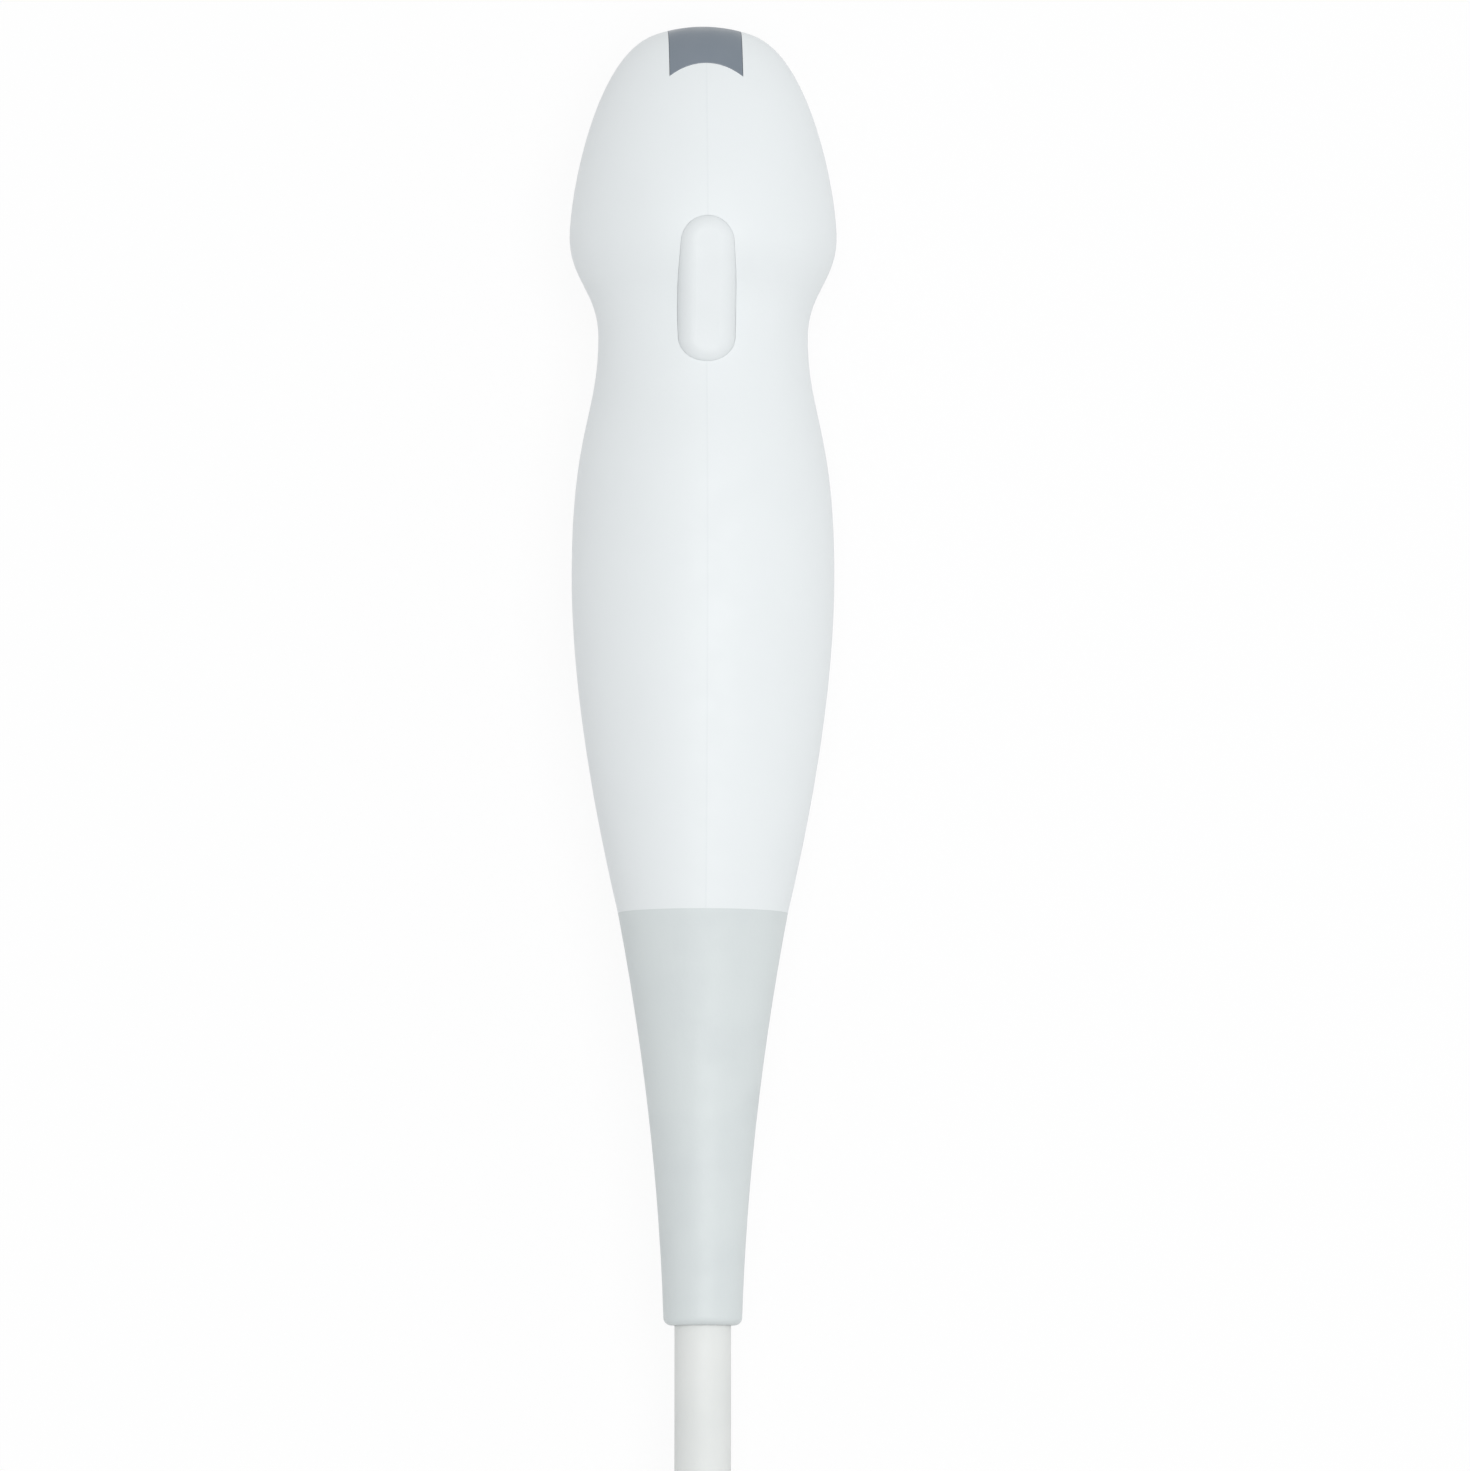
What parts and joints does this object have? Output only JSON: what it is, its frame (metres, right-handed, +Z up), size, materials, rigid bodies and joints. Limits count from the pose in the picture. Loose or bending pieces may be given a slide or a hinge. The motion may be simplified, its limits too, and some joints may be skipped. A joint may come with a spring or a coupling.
{
  "type": "ultrasound transducer probe",
  "caption": "Micro-convex ultrasound probe: white split-shell handpiece with grey lens and raised marker, tapered strain relief, cable tied in a hank, and a box connector with a lock lever.",
  "frame": {"origin": "under the middle of the handpiece, on the surface that it lies on", "axes": "+Y along the handpiece towards the lens, +Z up through the orientation marker"},
  "size_m": [0.0598, 0.4503, 0.0409],
  "materials": {
    "housing_plastic": "satin moulded",
    "lens_silicone": "smooth silicone",
    "matching_resin": "ground resin",
    "piezo_ceramic": "diced ceramic",
    "backing_resin": "cast, filled",
    "frame_plastic": "moulded",
    "flex_film": "polyimide film",
    "circuit_board": "solder mask",
    "shield_copper": "rolled sheet",
    "ferrule_metal": "nickel plated",
    "coax_wire": "fine wires",
    "boot_elastomer": "matt moulded",
    "cable_jacket": "matt extruded",
    "tie_strap": "hook and loop",
    "connector_plastic": "fine texture",
    "lever_plastic": "fine texture",
    "plug_metal": "die cast, plated",
    "contact_plastic": "glass filled",
    "contact_gold": "gold plated",
    "steel": "turned"
  },
  "bodies": {
    "probe": {"right_housing": "housing_plastic", "left_housing": "housing_plastic", "orientation_marker": "housing_plastic", "acoustic_lens": "lens_silicone", "outer_matching_layer": "matching_resin", "inner_matching_layer": "matching_resin", "piezo_array": "piezo_ceramic", "backing_block": "backing_resin", "array_carrier": "frame_plastic", "board_spacer": "frame_plastic", "right_flex_circuit": "flex_film", "left_flex_circuit": "flex_film", "right_board": "circuit_board", "left_board": "circuit_board", "connector_board": "circuit_board", "right_shield": "shield_copper", "left_shield": "shield_copper", "crimp_ferrule": "ferrule_metal", "connector_ferrule": "ferrule_metal", "coax_bundle": "coax_wire", "connector_wires": "coax_wire", "strain_relief": "boot_elastomer", "connector_boot": "boot_elastomer", "cable": "cable_jacket", "cable_hank": "cable_jacket", "cable_tail": "cable_jacket", "cable_tie": "tie_strap", "connector_base": "connector_plastic", "connector_cover": "connector_plastic", "plug_shroud": "plug_metal", "contact_block": "contact_plastic", "contact_pins": "contact_gold", "casing_screws": "steel"},
    "lock": {"lock_shaft": "steel", "lock_lever": "lever_plastic", "lever_screw": "steel"}
  },
  "joints": [
    {"name": "lock_turn", "type": "hinge", "parent": "probe", "child": "lock", "pos_m": [0.0115, -0.34, 0.034], "axis": [0, 0, 1], "range_deg": [0, 90]}
  ]
}
